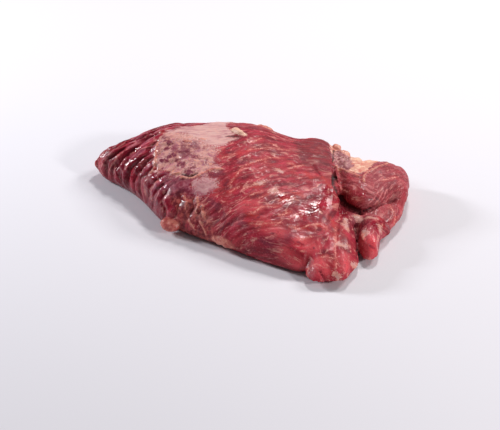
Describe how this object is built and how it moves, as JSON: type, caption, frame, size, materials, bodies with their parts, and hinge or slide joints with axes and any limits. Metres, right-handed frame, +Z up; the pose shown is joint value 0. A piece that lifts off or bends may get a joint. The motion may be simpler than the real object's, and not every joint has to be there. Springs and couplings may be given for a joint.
{
  "type": "raw beef flank",
  "caption": "Thick raw slab of coarse-grained meat with a blunt tip, thin silvery skin, bits of fat and a thin tail folded back over itself.",
  "frame": {"origin": "middle of the outline's bounding box, on the face it lies on", "axes": "+X along the length, from the blunt tip to the folded tail; +Y across it, to the high back edge; +Z up"},
  "size_m": [0.2846, 0.2408, 0.0558],
  "materials": {
    "raw_beef": "moist, half gloss"
  },
  "bodies": {
    "root": {"beef_flank": "raw_beef"}
  },
  "joints": []
}
